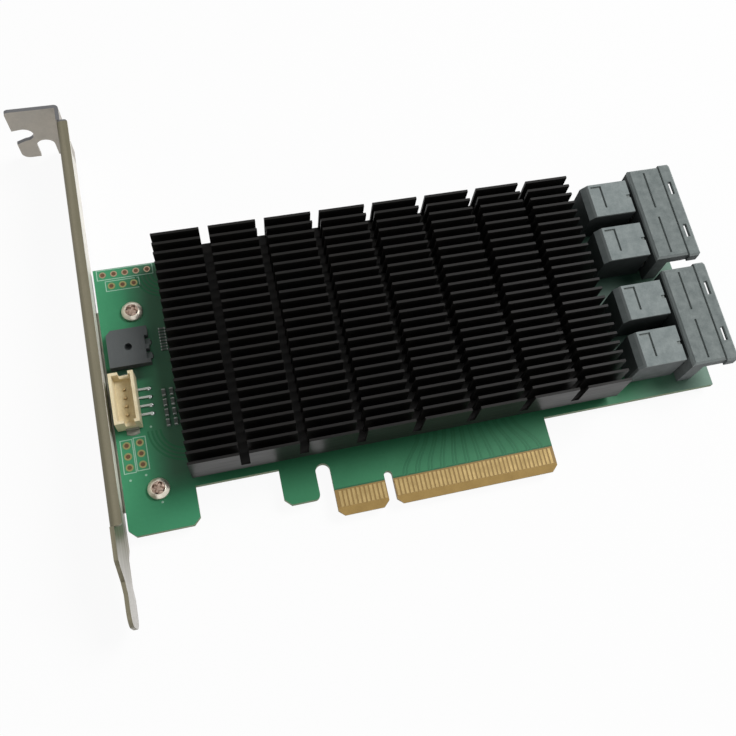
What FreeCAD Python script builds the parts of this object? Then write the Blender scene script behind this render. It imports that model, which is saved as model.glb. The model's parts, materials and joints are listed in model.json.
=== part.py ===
import FreeCAD, Part
import os
import Sketcher

# Low-profile eight-lane adapter card lying component side up.
# Origin: middle of the key notch, at the contact edge, on the component face of the board.
# +X runs from the bracket to the port connectors, +Y away from the contact edge, +Z off the board.
# All sizes are in millimetres and are written once, here.
SIZES = {
    # board
    "board_thick": 1.57,
    "board_left": 57.4,
    "board_right": 84.5,
    "board_top": 68.9,
    "board_foot": 13.15,
    "key_width": 1.9,
    "key_depth": 7.95,
    "tongue_short": 11.65,
    "tongue_long": 38.65,
    "tongue_chamfer": 1.3,
    "bevel_rise": 1.8,
    "bevel_depth": 0.5,
    "lobe_foot": 4.7,
    "lobe_chamfer": 1.5,
    "corner_lobe": 15.2,
    "hook_lobe": 7.95,
    "hook_round": 1.2,
    "hook_gap": 3.3,
    "hook_gap_top": 12.6,
    # edge contacts
    "contact_pitch": 1.0,
    "contact_width": 0.62,
    "contact_thick": 0.05,
    "contact_bottom": 1.9,
    "contact_top": 5.6,
    "contact_margin": 1.1,
    # bracket
    "sheet_thick": 0.86,
    "bend_radius": 0.15,
    "bracket_gap": 0.64,
    "bracket_top": 15.44,
    "lip_width": 2.46,
    "lip_low": 4.4,
    "lip_high": 100.4,
    "lip_corner": 0.7,
    "flange_low": 10.75,
    "flange_high": 58.76,
    "flange_reach": 13.0,
    "tab_seat": 103.75,
    "tab_reach": 11.15,
    "tab_width": 18.14,
    "tab_corner": 1.0,
    "tab_heel": 1.9,
    "slot_width": 4.5,
    "slot_depth": 4.5,
    "slot_rise": 9.1,
    "slot_flare": 1.1,
    "slot_lip": 0.3,
    "notch_width": 4.15,
    "notch_reach": 4.85,
    "notch_depth": 6.45,
    "tail_tip": 14.9,
    "tail_width": 10.19,
    "tail_rise": 2.43,
    "tail_jog": 0.25,
    "tail_corner": 3.2,
    "jog_top": 6.0,
    "jog_bottom": 8.6,
    "shoulder_top": 2.4,
    # bracket screws
    "screw_inset": 7.5,
    "screw_low": 14.04,
    "screw_high": 56.84,
    "screw_shank": 2.9,
    "screw_head": 4.8,
    "screw_head_rise": 1.6,
    "screw_rim": 0.7,
    "screw_crown": 2.9,
    "screw_past": 0.9,
    "tap_clearance": 0.1,
    "hole_clearance": 0.4,
    # heat sink
    "sink_inset": 14.96,
    "sink_gap": 2.8,
    "sink_height": 11.0,
    "sink_base": 2.8,
    "sink_column": 10.76,
    "sink_cut": 2.04,
    "fin_pitch": 2.349,
    "fin_thick": 0.6,
    "boss_inset": 6.0,
    "boss_width": 5.0,
    "sink_screw_shank": 2.4,
    "sink_screw_head": 4.4,
    "sink_screw_rise": 1.4,
    "sink_screw_grip": 3.0,
    # controller package
    "package_side": 33.0,
    "package_thick": 1.0,
    "lid_side": 27.0,
    "lid_thick": 1.2,
    "pad_side": 25.0,
    # buzzer
    "buzzer_side": 9.1,
    "buzzer_thick": 2.0,
    "buzzer_left": 1.1,
    "buzzer_low": 43.1,
    "buzzer_chamfer": 1.1,
    "buzzer_hole": 1.7,
    "buzzer_hole_depth": 1.6,
    "terminal_notch": 2.4,
    "terminal_notch_depth": 0.8,
    "terminal_width": 1.6,
    "terminal_reach": 0.3,
    "terminal_rise": 0.5,
    "terminal_inset": 3.5,
    "terminal_pitch": 3.4,
    # fan header
    "header_left": 0.8,
    "header_low": 28.5,
    "header_width": 5.4,
    "header_length": 12.0,
    "header_height": 5.6,
    "header_wall": 0.7,
    "header_floor": 1.3,
    "header_slot": 2.2,
    "header_slot_shift": 0.45,
    "header_slot_depth": 2.6,
    "header_pitch": 2.0,
    "header_pin": 0.5,
    "header_pin_rise": 2.4,
    "header_tail": 2.6,
    "header_pin_fit": 0.05,
    "solder_tab_width": 2.8,
    "solder_tab_reach": 1.1,
    "solder_tab_thick": 0.3,
    "solder_tab_rise": 1.6,
    # port connectors
    "connector_high": 56.55,
    "connector_step": 28.3,
    "port_pitch": 12.25,
    "shroud_back": 9.1,
    "shroud_front": 5.5,
    "shroud_length": 25.2,
    "shroud_top": 11.5,
    "hood_reach": 2.6,
    "hood_thick": 3.0,
    "hood_chamfer": 0.5,
    "hood_wall": 1.1,
    "hood_hollow": 8.8,
    "hood_collar": 0.5,
    "cheek_drop": 2.0,
    "cheek_inset": 0.8,
    "cheek_width": 1.2,
    "cheek_setback": 3.0,
    "groove_width": 0.55,
    "groove_depth": 0.45,
    "groove_split": 2.6,
    "groove_end": 1.2,
    "rear_groove_back": 5.1,
    "front_groove_back": 0.75,
    "window_back": 0.9,
    "window_width": 1.0,
    "window_length": 3.6,
    "port_slot_height": 1.6,
    "port_slot_width": 8.2,
    "port_slot_low": 2.9,
    "port_slot_step": 3.1,
    "block_gap": 1.0,
    "block_depth": 11.9,
    "block_length": 8.95,
    "block_height": 10.5,
    "block_chamfer": 1.6,
    "block_rim": 0.6,
    "block_groove_left": 5.0,
    "block_groove_length": 6.2,
    "block_notch": 1.0,
    "block_notch_width": 0.9,
    # small parts on the board
    "capacitor_length": 1.6,
    "capacitor_width": 0.8,
    "capacitor_height": 0.8,
    "capacitor_low": 28.6,
    "capacitor_pitch": 2.4,
    "capacitor_step": 1.7,
    "resistor_length": 1.5,
    "resistor_width": 0.4,
    "resistor_height": 0.35,
    "resistor_low": 46.3,
    "resistor_pitch": 0.75,
    "small_part_gap": 1.6,
    "inductor_side": 7.0,
    "inductor_height": 2.4,
    "regulator_side": 5.0,
    "regulator_height": 0.9,
    "power_inset": 16.0,
    "power_pitch": 9.0,
    "memory_length": 8.0,
    "memory_width": 5.3,
    "memory_height": 1.75,
    "oscillator_length": 3.2,
    "oscillator_width": 2.5,
    "oscillator_height": 0.9,
    "support_gap": 3.0,
}
SHORT_CONTACTS = 11
LONG_CONTACTS = 38
SINK_COLUMNS = 8
FINS = 24
HEADER_PINS = 4
SMALL_PARTS = 8
POWER_STAGES = 3


class Dim:
    """A length that knows its value and the sheet expression that gives it."""

    def __init__(self, value, text):
        self.value = value
        self.text = text

    def __add__(self, other):
        other = dim(other)
        return Dim(self.value + other.value, "(%s + %s)" % (self.text, other.text))

    def __sub__(self, other):
        other = dim(other)
        return Dim(self.value - other.value, "(%s - %s)" % (self.text, other.text))

    def __mul__(self, factor):
        return Dim(self.value * factor, "%s * %s" % (self.text, factor))

    def __truediv__(self, divisor):
        return Dim(self.value / divisor, "%s / %s" % (self.text, divisor))

    def __neg__(self):
        return Dim(-self.value, "-(%s)" % self.text)


def dim(number):
    """A plain number as a length."""
    if isinstance(number, Dim):
        return number
    return Dim(float(number), "(%s)" % float(number))


doc = FreeCAD.newDocument("host_bus_adapter")
sheet = doc.addObject("Spreadsheet::Sheet", "Sizes")
for row, (alias, number) in enumerate(SIZES.items(), start=1):
    sheet.set("A%d" % row, alias)
    sheet.set("B%d" % row, str(number))
    sheet.setAlias("B%d" % row, alias)
doc.recompute()
ZERO = dim(0)
sub_parts = []


def size(alias):
    """The named size as a length bound to its cell."""
    return Dim(SIZES[alias], "Sizes.%s" % alias)


def place(item, x, y, z):
    """Bind an object's place to lengths."""
    for axis, length in zip("xyz", (x, y, z)):
        item.setExpression("Placement.Base.%s" % axis, dim(length).text)


def new_body(label, x=ZERO, y=ZERO, z=ZERO, keep=True):
    """An empty body at a place; a kept one becomes a node of its own."""
    body = doc.addObject("PartDesign::Body", label)
    body.Label = label
    body.AllowCompound = True
    place(body, x, y, z)
    if keep:
        sub_parts.append(body)
    return body


def new_sketch(body, role, lift=None):
    """An empty sketch on one of the body's own origin planes, moved along its normal."""
    sketch = body.newObject("Sketcher::SketchObject", "%s_sketch" % body.Name)
    support = [item for item in body.Origin.OriginFeatures if item.Role == role]
    sketch.AttachmentSupport = [(support[0], "")]
    sketch.MapMode = "FlatFace"
    if lift is not None:
        sketch.setExpression("AttachmentOffset.Base.z", lift.text)
    return sketch


def tie(sketch, ties):
    """Add constraints in one go; each is given as (constraint, length or None)."""
    indices = sketch.addConstraint([constraint for constraint, length in ties])
    for index, (constraint, length) in zip(indices, ties):
        if length is not None:
            sketch.setExpression("Constraints[%d]" % index, length.text)


def hold(axis, geometry, point, length):
    """The constraint that ties one coordinate of a point to a length."""
    length = dim(length)
    return (Sketcher.Constraint("Distance" + axis, -1, 1, geometry, point, length.value), length)


def outline(sketch, corners):
    """Closed outline: (x, y) starts a line, (x, y, (cx, cy), turn) starts an arc about a centre."""
    first = sketch.GeometryCount
    count = len(corners)
    points = [FreeCAD.Vector(dim(c[0]).value, dim(c[1]).value, 0) for c in corners]
    up = FreeCAD.Vector(0, 0, 1)
    geometry = []
    for index, corner in enumerate(corners):
        start = points[index]
        end = points[(index + 1) % count]
        if len(corner) == 2:
            geometry.append(Part.LineSegment(start, end))
            continue
        centre = FreeCAD.Vector(dim(corner[2][0]).value, dim(corner[2][1]).value, 0)
        circle = Part.Circle(centre, up, (start - centre).Length)
        ends = [circle.parameter(start), circle.parameter(end)]
        if corner[3] < 0:
            ends.reverse()
        geometry.append(Part.ArcOfCircle(circle, ends[0], ends[1]))
    sketch.addGeometry(geometry, False)
    starts = [2 if len(corner) > 2 and corner[3] < 0 else 1 for corner in corners]
    ties = []
    for index, corner in enumerate(corners):
        item = first + index
        following = (index + 1) % count
        joint = Sketcher.Constraint(
            "Coincident", item, 3 - starts[index], first + following, starts[following])
        ties.append((joint, None))
        ties.append(hold("X", item, starts[index], corner[0]))
        ties.append(hold("Y", item, starts[index], corner[1]))
        if len(corner) > 2:
            chord = points[following] - points[index]
            if abs(chord.y) > abs(chord.x):
                ties.append(hold("X", item, 3, corner[2][0]))
            else:
                ties.append(hold("Y", item, 3, corner[2][1]))
    tie(sketch, ties)


def rectangle(sketch, left, low, right, high):
    """Closed rectangle between two corners."""
    outline(sketch, [(left, low), (right, low), (right, high), (left, high)])


def disc(sketch, x, y, diameter):
    """Circle about a point."""
    radius = diameter / 2
    centre = FreeCAD.Vector(dim(x).value, dim(y).value, 0)
    item = sketch.addGeometry(Part.Circle(centre, FreeCAD.Vector(0, 0, 1), radius.value), False)
    ring = (Sketcher.Constraint("Radius", item, radius.value), radius)
    tie(sketch, [hold("X", item, 3, x), hold("Y", item, 3, y), ring])


def pad(body, sketch, length, back=False, both=False):
    """Extrude a sketch along its normal, against it, or half each way."""
    feature = body.newObject("PartDesign::Pad", "%s_pad" % body.Name)
    feature.Profile = sketch
    feature.setExpression("Length", length.text)
    feature.Reversed = back
    feature.Midplane = both
    doc.recompute()
    return feature


def pocket(body, sketch, depth=None, back=False):
    """Cut a sketch to a depth against its normal, or right through both ways."""
    before = body.Shape.Volume
    feature = body.newObject("PartDesign::Pocket", "%s_pocket" % body.Name)
    feature.Profile = sketch
    feature.Reversed = back
    if depth is None:
        feature.Type = "ThroughAll"
        feature.Midplane = True
    else:
        feature.setExpression("Length", depth.text)
    doc.recompute()
    if body.Shape.Volume > before - 1e-6:
        raise RuntimeError("%s cuts nothing" % feature.Name)
    return feature


def revolve(body, sketch):
    """Turn a sketch round its own vertical axis."""
    feature = body.newObject("PartDesign::Revolution", "%s_turned" % body.Name)
    feature.Profile = sketch
    feature.ReferenceAxis = (sketch, ["V_Axis"])
    feature.Angle = 360
    doc.recompute()
    return feature


def row_pattern(body, feature, axis, step, count):
    """Repeat a feature at a fixed step along one of the body's axes."""
    pattern = body.newObject("PartDesign::LinearPattern", "%s_row" % body.Name)
    pattern.Originals = [feature]
    direction = [item for item in body.Origin.OriginFeatures if item.Role == axis]
    pattern.Direction = (direction[0], [""])
    pattern.Mode = "Spacing"
    pattern.setExpression("Offset", step.text)
    pattern.Occurrences = int(count)
    body.Tip = pattern
    doc.recompute()
    return pattern


def edges_where(body, test):
    """Names of the edges, in the body's own frame, whose two ends both pass a test."""
    names = []
    for index, edge in enumerate(body.Tip.Shape.Edges, start=1):
        ends = [vertex.Point for vertex in edge.Vertexes]
        if len(ends) == 2 and all(test(end) for end in ends):
            names.append("Edge%d" % index)
    return names


def near(a, b):
    """Equal within modelling tolerance."""
    return abs(a - b) < 1e-4


def round_edges(body, names, radius):
    """Round the named edges of the body as it stands."""
    base = body.Tip
    feature = body.newObject("PartDesign::Fillet", "%s_round" % body.Name)
    feature.Base = (base, names)
    feature.setExpression("Radius", radius.text)
    doc.recompute()


def block(label, centre_x, centre_y, bottom, length, width, height, keep=True):
    """Plain rectangular piece standing on a level."""
    item = doc.addObject("Part::Box", label)
    item.Label = label
    item.setExpression("Length", length.text)
    item.setExpression("Width", width.text)
    item.setExpression("Height", height.text)
    place(item, centre_x - length / 2, centre_y - width / 2, bottom)
    if keep:
        sub_parts.append(item)
    return item


def group(label, items):
    """Separate like solids kept together as one node."""
    item = doc.addObject("Part::Compound", label)
    item.Label = label
    item.Links = items
    sub_parts.append(item)
    return item


# Places shared by several pieces
left_end = -size("board_left")
solder_face = -size("board_thick")
tongue_left = -(size("key_width") / 2 + size("tongue_short"))
tongue_right = size("key_width") / 2 + size("tongue_long")
screw_x = left_end + size("screw_inset")
screw_hole = size("screw_shank") + size("hole_clearance")
screw_places = [(screw_x, size("screw_low")), (screw_x, size("screw_high"))]

sink_left = left_end + size("sink_inset")
sink_length = size("sink_column") * SINK_COLUMNS + size("sink_cut") * (SINK_COLUMNS - 1)
sink_width = size("fin_pitch") * (FINS - 1) + size("fin_thick")
sink_front = size("board_top") - sink_width
sink_middle = (sink_left + sink_length / 2, sink_front + sink_width / 2)
boss_places = [
    (sink_left + size("boss_inset"), sink_front + size("boss_inset")),
    (sink_left + sink_length - size("boss_inset"), sink_front + size("boss_inset")),
    (sink_left + size("boss_inset"), size("board_top") - size("boss_inset")),
    (sink_left + sink_length - size("boss_inset"), size("board_top") - size("boss_inset")),
]
sink_hole = size("sink_screw_shank") + size("hole_clearance")

connector_places = {
    "upper": size("connector_high"),
    "lower": size("connector_high") - size("connector_step"),
}
shroud_left = size("board_right") - size("shroud_back")
block_right = shroud_left - size("block_gap")


def make_board():
    """Board outline with the keyed contact tongue and both hook lobes, then its holes."""
    body = new_body("circuit_board")
    foot = size("board_foot")
    lobe = size("lobe_foot")
    cut = size("lobe_chamfer")
    tip = size("tongue_chamfer")
    half_key = size("key_width") / 2
    key_spring = size("key_depth") - half_key
    corner_right = left_end + size("corner_lobe")
    hook_right = tongue_left - size("hook_gap")
    hook_left = hook_right - size("hook_lobe")
    hook_round = size("hook_round")
    gap_spring = size("hook_gap_top") - size("hook_gap") / 2
    gap_middle = tongue_left - size("hook_gap") / 2
    sketch = new_sketch(body, "XY_Plane")
    outline(sketch, [
        (left_end, lobe + cut),
        (left_end + cut, lobe),
        (corner_right - cut, lobe),
        (corner_right, lobe + cut),
        (corner_right, foot),
        (hook_left, foot),
        (hook_left, lobe + cut),
        (hook_left + cut, lobe),
        (hook_right - hook_round, lobe, (hook_right - hook_round, lobe + hook_round), 1),
        (hook_right, lobe + hook_round),
        (hook_right, gap_spring, (gap_middle, gap_spring), -1),
        (tongue_left, gap_spring),
        (tongue_left, tip),
        (tongue_left + tip, 0),
        (-half_key - tip, 0),
        (-half_key, tip),
        (-half_key, key_spring, (0, key_spring), -1),
        (half_key, key_spring),
        (half_key, tip),
        (half_key + tip, 0),
        (tongue_right - tip, 0),
        (tongue_right, tip),
        (tongue_right, foot),
        (size("board_right"), foot),
        (size("board_right"), size("board_top")),
        (left_end, size("board_top")),
    ])
    pad(body, sketch, size("board_thick"), back=True)
    bevel = new_sketch(body, "YZ_Plane")
    rise = size("bevel_rise")
    depth = size("bevel_depth")
    outline(bevel, [(0, 0), (rise, 0), (0, -depth)])
    outline(bevel, [(0, solder_face), (0, solder_face + depth), (rise, solder_face)])
    pocket(body, bevel)
    holes = new_sketch(body, "XY_Plane")
    for x, y in screw_places:
        disc(holes, x, y, screw_hole)
    for x, y in boss_places:
        disc(holes, x, y, sink_hole)
    pocket(body, holes)


def make_edge_contacts(label, bottom):
    """Gold fingers on one face of the tongue, a short row and a long one beside the key."""
    body = new_body(label, z=bottom)
    first_short = tongue_left + size("contact_margin")
    first_long = tongue_right - size("contact_margin") - size("contact_pitch") * (LONG_CONTACTS - 1)
    for first, count in ((first_short, SHORT_CONTACTS), (first_long, LONG_CONTACTS)):
        half = size("contact_width") / 2
        sketch = new_sketch(body, "XY_Plane")
        rectangle(sketch, first - half, size("contact_bottom"), first + half, size("contact_top"))
        finger = pad(body, sketch, size("contact_thick"))
        row_pattern(body, finger, "X_Axis", size("contact_pitch"), count)


def make_bracket():
    """Folded sheet: plate, lip on the component side, flange under the board, tab and tail."""
    thick = size("sheet_thick")
    bend = size("bend_radius")
    inner = left_end - size("bracket_gap")
    body = new_body("bracket", x=inner)
    top = size("bracket_top")
    low = solder_face - thick
    lip_bend = top - thick - bend
    flange_bend = low + thick + bend
    tail_low = low + size("tail_rise")
    tail_high = tail_low + size("tail_width")
    seat = size("tab_seat")
    tab_bend = seat - bend
    jog_top = -size("jog_top")
    jog_bottom = -size("jog_bottom")
    tip = -size("tail_tip")
    jog = size("tail_jog")
    plate = new_sketch(body, "YZ_Plane")
    outline(plate, [
        (jog_top, tail_low),
        (0, tail_low),
        (size("tail_rise"), low),
        (size("flange_low"), low),
        (size("flange_low"), flange_bend),
        (size("flange_high"), flange_bend),
        (size("flange_high"), low),
        (tab_bend, low),
        (tab_bend, top),
        (size("lip_high"), top),
        (size("lip_high"), lip_bend),
        (size("lip_low"), lip_bend),
        (size("lip_low"), top),
        (-size("shoulder_top"), top),
        (jog_top, tail_high),
    ])
    pad(body, plate, thick, back=True)
    tail = new_sketch(body, "XY_Plane", tail_low)
    outline(tail, [
        (-thick, jog_top),
        (-thick + jog, jog_bottom),
        (-thick + jog, tip),
        (jog, tip),
        (jog, jog_bottom),
        (0, jog_top),
    ])
    pad(body, tail, size("tail_width"))
    lip = new_sketch(body, "XZ_Plane", -size("lip_high"))
    lip_edge = size("lip_width") - thick
    outline(lip, [
        (-thick, lip_bend, (bend, lip_bend), -1),
        (bend, top),
        (lip_edge, top),
        (lip_edge, top - thick),
        (bend, top - thick, (bend, lip_bend), 1),
        (0, lip_bend),
    ])
    pad(body, lip, size("lip_high") - size("lip_low"))
    flange = new_sketch(body, "XZ_Plane", -size("flange_high"))
    outline(flange, [
        (bend, low, (bend, flange_bend), -1),
        (-thick, flange_bend),
        (0, flange_bend, (bend, flange_bend), 1),
        (bend, low + thick),
        (size("flange_reach"), low + thick),
        (size("flange_reach"), low),
    ])
    pad(body, flange, size("flange_high") - size("flange_low"))
    tab_low = top - size("tab_width")
    tab_end = -thick - size("tab_reach")
    tab = new_sketch(body, "XY_Plane", tab_low)
    outline(tab, [
        (0, tab_bend, (-thick - bend, tab_bend), 1),
        (-thick - bend, seat + thick),
        (tab_end, seat + thick),
        (tab_end, seat),
        (-thick - bend, seat, (-thick - bend, tab_bend), -1),
        (-thick, tab_bend),
    ])
    pad(body, tab, size("tab_width"))
    slot_middle = tab_low + size("slot_rise")
    slot_low = slot_middle - size("slot_width") / 2
    slot_high = slot_middle + size("slot_width") / 2
    slot_round = tab_end + size("slot_depth") - size("slot_width") / 2
    notch_middle = -thick - size("notch_reach")
    notch_left = notch_middle - size("notch_width") / 2
    notch_right = notch_middle + size("notch_width") / 2
    notch_round = tab_low + size("notch_depth") - size("notch_width") / 2
    openings = new_sketch(body, "XZ_Plane")
    outline(openings, [
        (tab_end - thick, slot_low - size("slot_flare")),
        (tab_end, slot_low - size("slot_flare")),
        (slot_round, slot_low, (slot_round, slot_middle), 1),
        (slot_round, slot_high),
        (tab_end, slot_high - size("slot_lip")),
        (tab_end - thick, slot_high - size("slot_lip")),
    ])
    outline(openings, [
        (notch_right, tab_low - thick),
        (notch_right, notch_round, (notch_middle, notch_round), 1),
        (notch_left, notch_round),
        (notch_left, tab_low - thick),
    ])
    pocket(body, openings)
    holes = new_sketch(body, "XY_Plane", low + thick)
    for x, y in screw_places:
        disc(holes, x - inner, y, size("screw_shank") + size("tap_clearance"))
    pocket(body, holes, thick)
    corners = edges_where(body, lambda p: near(p.x, lip_edge.value) and near(p.y, SIZES["lip_low"]))
    corners += edges_where(body, lambda p: near(p.x, lip_edge.value) and near(p.y, SIZES["lip_high"]))
    round_edges(body, corners, size("lip_corner"))
    corners = edges_where(body, lambda p: near(p.x, tab_end.value) and near(p.z, top.value))
    round_edges(body, corners, size("tab_corner"))
    corners = edges_where(body, lambda p: near(p.x, tab_end.value) and near(p.z, tab_low.value))
    round_edges(body, corners, size("tab_heel"))
    corners = edges_where(body, lambda p: near(p.y, tip.value) and near(p.z, tail_low.value))
    corners += edges_where(body, lambda p: near(p.y, tip.value) and near(p.z, tail_high.value))
    round_edges(body, corners, size("tail_corner"))


def make_screw(label, x, y, seat, profile):
    """Screw turned about its own axis from a (radius, height) profile."""
    body = new_body(label, x, y, seat, keep=False)
    sketch = new_sketch(body, "XZ_Plane")
    outline(sketch, profile)
    revolve(body, sketch)
    return body


def make_bracket_screws():
    """Two domed screws through the board into the bracket's flange."""
    end = -(size("board_thick") + size("sheet_thick") + size("screw_past"))
    shank = size("screw_shank") / 2
    head = size("screw_head") / 2
    crown = size("screw_crown") / 2
    profile = [
        (0, end),
        (shank, end),
        (shank, 0),
        (head, 0),
        (head, size("screw_rim")),
        (crown, size("screw_head_rise")),
        (0, size("screw_head_rise")),
    ]
    screws = []
    for name, (x, y) in zip(("low", "high"), screw_places):
        screws.append(make_screw("bracket_screw_" + name, x, y, ZERO, profile))
    group("bracket_screws", screws)


def make_heat_sink():
    """Block with four tapped bosses below, sawn across into columns and along into fins."""
    body = new_body("heat_sink", sink_left, sink_front, size("sink_gap"))
    base = size("sink_base")
    top = size("sink_height")
    stock = new_sketch(body, "XY_Plane")
    rectangle(stock, 0, 0, sink_length, sink_width)
    pad(body, stock, top)
    bosses = new_sketch(body, "XY_Plane")
    bores = new_sketch(body, "XY_Plane", -size("sink_gap"))
    for x, y in boss_places:
        half = size("boss_width") / 2
        boss_x, boss_y = x - sink_left, y - sink_front
        rectangle(bosses, boss_x - half, boss_y - half, boss_x + half, boss_y + half)
        disc(bores, boss_x, boss_y, size("sink_screw_shank") + size("tap_clearance"))
    pad(body, bosses, size("sink_gap"), back=True)
    pocket(body, bores, size("sink_screw_grip") + size("tap_clearance"), back=True)
    across = new_sketch(body, "XZ_Plane")
    rectangle(across, size("sink_column"), base, size("sink_column") + size("sink_cut"), top)
    cut = pocket(body, across)
    row_pattern(body, cut, "X_Axis", size("sink_column") + size("sink_cut"), SINK_COLUMNS - 1)
    along = new_sketch(body, "YZ_Plane")
    rectangle(along, size("fin_thick"), base, size("fin_pitch"), top)
    channel = pocket(body, along)
    row_pattern(body, channel, "Y_Axis", size("fin_pitch"), FINS - 1)


def make_heat_sink_screws():
    """Four flat-topped screws from the solder side into the heat sink's bosses."""
    shank = size("sink_screw_shank") / 2
    head = size("sink_screw_head") / 2
    end = size("board_thick") + size("sink_screw_grip")
    profile = [
        (0, -size("sink_screw_rise")),
        (head, -size("sink_screw_rise")),
        (head, 0),
        (shank, 0),
        (shank, end),
        (0, end),
    ]
    screws = []
    for index, (x, y) in enumerate(boss_places, start=1):
        screws.append(make_screw("heat_sink_screw_%d" % index, x, y, solder_face, profile))
    group("heat_sink_screws", screws)


def make_controller():
    """Controller package, its lid, and the pad that fills the way to the heat sink."""
    x, y = sink_middle
    lid_bottom = size("package_thick")
    pad_bottom = lid_bottom + size("lid_thick")
    for label, side, bottom, height in (
            ("controller_package", size("package_side"), ZERO, size("package_thick")),
            ("controller_lid", size("lid_side"), lid_bottom, size("lid_thick")),
            ("thermal_pad", size("pad_side"), pad_bottom, size("sink_gap") - pad_bottom)):
        block(label, x, y, bottom, side, side, height)


def make_buzzer():
    """Square sounder with one cut corner, a sound hole, and two terminals in notches on one side."""
    side = size("buzzer_side")
    x = left_end + size("buzzer_left")
    y = size("buzzer_low")
    body = new_body("buzzer_housing", x, y)
    cut = size("buzzer_chamfer")
    sketch = new_sketch(body, "XY_Plane")
    outline(sketch, [(0, 0), (side, 0), (side, side), (cut, side), (0, side - cut)])
    pad(body, sketch, size("buzzer_thick"))
    hole = new_sketch(body, "XY_Plane", size("buzzer_thick"))
    disc(hole, side / 2, side / 2, size("buzzer_hole"))
    pocket(body, hole, size("buzzer_hole_depth"))
    depth = size("terminal_notch_depth")
    half = size("terminal_notch") / 2
    length = depth + size("terminal_reach")
    notches = new_sketch(body, "XY_Plane")
    terminals = []
    for name, drop in (("high", ZERO), ("low", size("terminal_pitch"))):
        middle = side - size("terminal_inset") - drop
        rectangle(notches, side - depth, middle - half, side, middle + half)
        terminals.append(block(
            "buzzer_terminal_" + name, x + side - depth + length / 2, y + middle, ZERO, length,
            size("terminal_width"), size("terminal_rise"), keep=False))
    pocket(body, notches)
    group("buzzer_terminals", terminals)


def make_fan_header():
    """Upright shrouded header: moulded box, four bent pins, two solder tabs."""
    x = left_end + size("header_left")
    y = size("header_low")
    pin = size("header_pin")
    wide = size("header_width")
    long = size("header_length")
    wall = size("header_wall")
    body = new_body("fan_header_housing", x, y, pin)
    height = size("header_height") - pin
    shell = new_sketch(body, "XY_Plane")
    rectangle(shell, ZERO, ZERO, wide, long)
    pad(body, shell, height)
    cavity = new_sketch(body, "XY_Plane", height)
    rectangle(cavity, wall, wall, wide - wall, long - wall)
    pocket(body, cavity, height - size("header_floor"))
    slots = new_sketch(body, "XZ_Plane")
    middle = wide / 2
    half_slot = size("header_slot") / 2
    slot_middle = middle + size("header_slot_shift")
    rectangle(slots, slot_middle - half_slot, height - size("header_slot_depth"),
              slot_middle + half_slot, height)
    pocket(body, slots)
    first = long / 2 - size("header_pitch") * ((HEADER_PINS - 1) / 2)
    half_hole = pin / 2 + size("header_pin_fit")
    holes = new_sketch(body, "XY_Plane", size("header_floor"))
    for index in range(HEADER_PINS):
        along = first + size("header_pitch") * index
        rectangle(holes, middle - half_hole, along - half_hole, middle + half_hole, along + half_hole)
    pocket(body, holes, size("header_floor"))
    pins = new_body("fan_header_pins", x, y)
    profile = new_sketch(pins, "XZ_Plane", -(first + pin / 2))
    outline(profile, [
        (middle - pin / 2, 0),
        (wide + size("header_tail"), 0),
        (wide + size("header_tail"), pin),
        (middle + pin / 2, pin),
        (middle + pin / 2, size("header_pin_rise")),
        (middle - pin / 2, size("header_pin_rise")),
    ])
    bent = pad(pins, profile, pin)
    row_pattern(pins, bent, "Y_Axis", size("header_pitch"), HEADER_PINS)
    tabs = []
    thick = size("solder_tab_thick")
    for name, edge, sense in (("low", y, -1), ("high", y + long, 1)):
        tab = new_body("fan_header_tab_" + name, x + slot_middle, edge, keep=False)
        sketch = new_sketch(tab, "YZ_Plane", -size("solder_tab_width") / 2)
        outline(sketch, [
            (0, 0),
            (size("solder_tab_reach") * sense, 0),
            (size("solder_tab_reach") * sense, thick),
            (thick * sense, thick),
            (thick * sense, size("solder_tab_rise")),
            (0, size("solder_tab_rise")),
        ])
        pad(tab, sketch, size("solder_tab_width"))
        tabs.append(tab)
    group("fan_header_tabs", tabs)


def port_slot_levels():
    """Heights of the lower faces of the two card slots in each port."""
    lower = size("port_slot_low") - size("port_slot_height") / 2
    return (lower, lower + size("port_slot_step"))


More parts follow.
